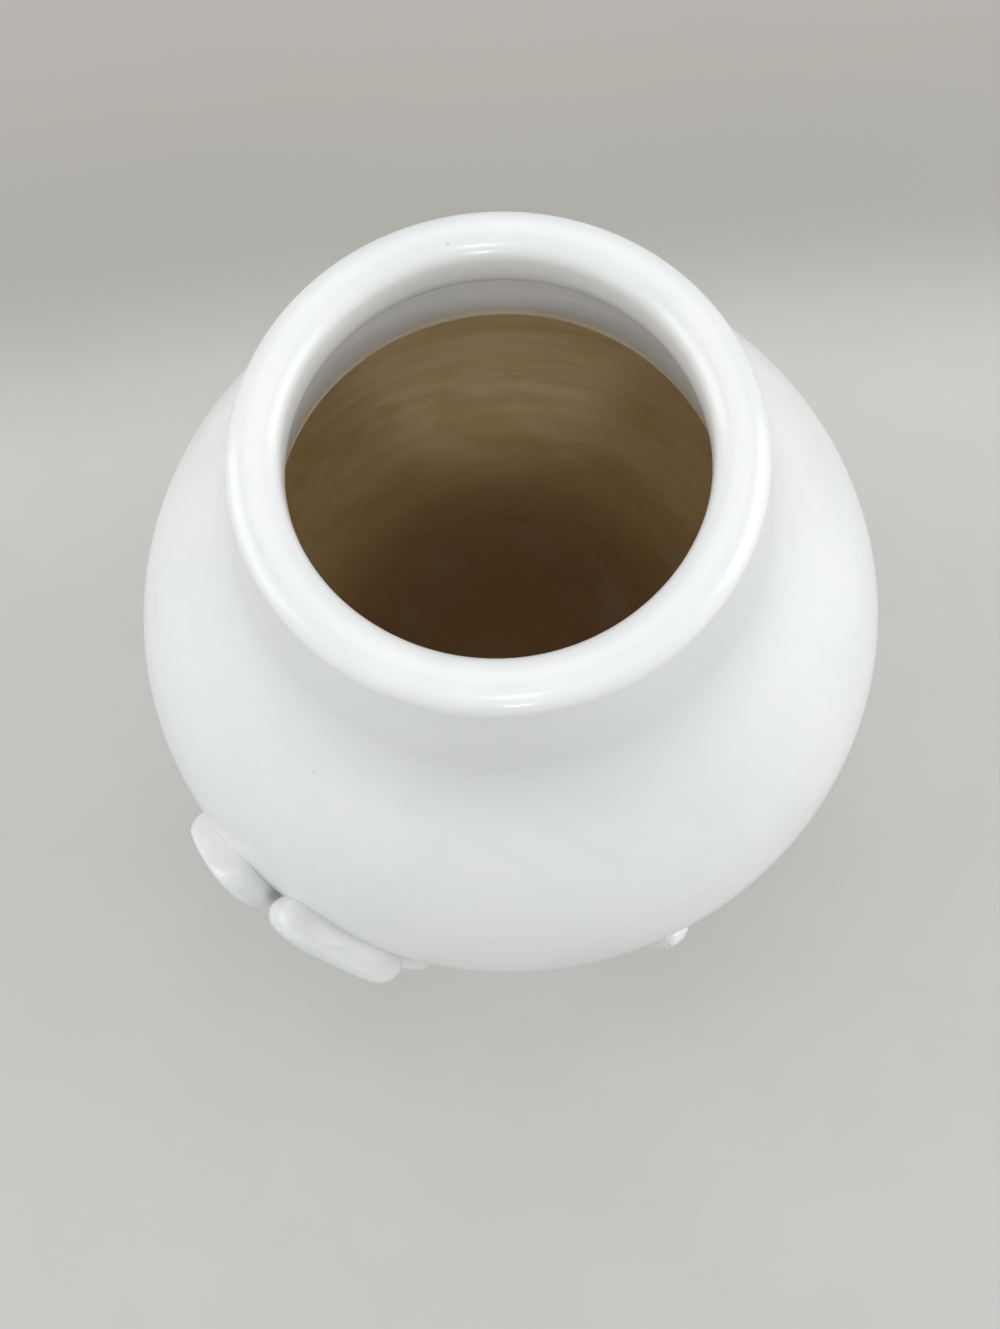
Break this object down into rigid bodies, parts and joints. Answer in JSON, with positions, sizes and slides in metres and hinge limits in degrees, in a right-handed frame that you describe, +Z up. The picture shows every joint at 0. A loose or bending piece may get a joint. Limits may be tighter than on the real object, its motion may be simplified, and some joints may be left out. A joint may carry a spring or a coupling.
{
  "type": "moon jar",
  "caption": "Round white porcelain moon jar with a short conical neck, a rolled rim, a low foot ring and a blossom spray in applied relief.",
  "frame": {"origin": "centre of the foot ring's resting face, on the jar's axis", "axes": "+Z up along the jar's axis, -Y towards the side that the picture is taken from, +X to that viewer's right"},
  "size_m": [0.12, 0.1202, 0.116],
  "materials": {
    "white_glaze": "smooth milky white gloss glaze",
    "relief_glaze": "milky white gloss glaze, thin and faintly warm on the edges",
    "bare_foot": "unglazed fired clay, matte"
  },
  "bodies": {
    "root": {"lower_bowl": "white_glaze", "upper_bowl": "white_glaze", "neck_collar": "white_glaze", "rolled_rim": "white_glaze", "foot_ring": "bare_foot", "blossom_centre": "relief_glaze", "stamen_beads": "relief_glaze", "petal_1": "relief_glaze", "petal_2": "relief_glaze", "petal_3": "relief_glaze", "petal_4": "relief_glaze", "petal_5": "relief_glaze", "branch": "relief_glaze", "bud": "relief_glaze", "bud_calyx": "relief_glaze", "bud_twig": "relief_glaze", "leaf_1": "relief_glaze", "leaf_2": "relief_glaze", "leaf_3": "relief_glaze", "leaf_4": "relief_glaze"}
  },
  "joints": []
}
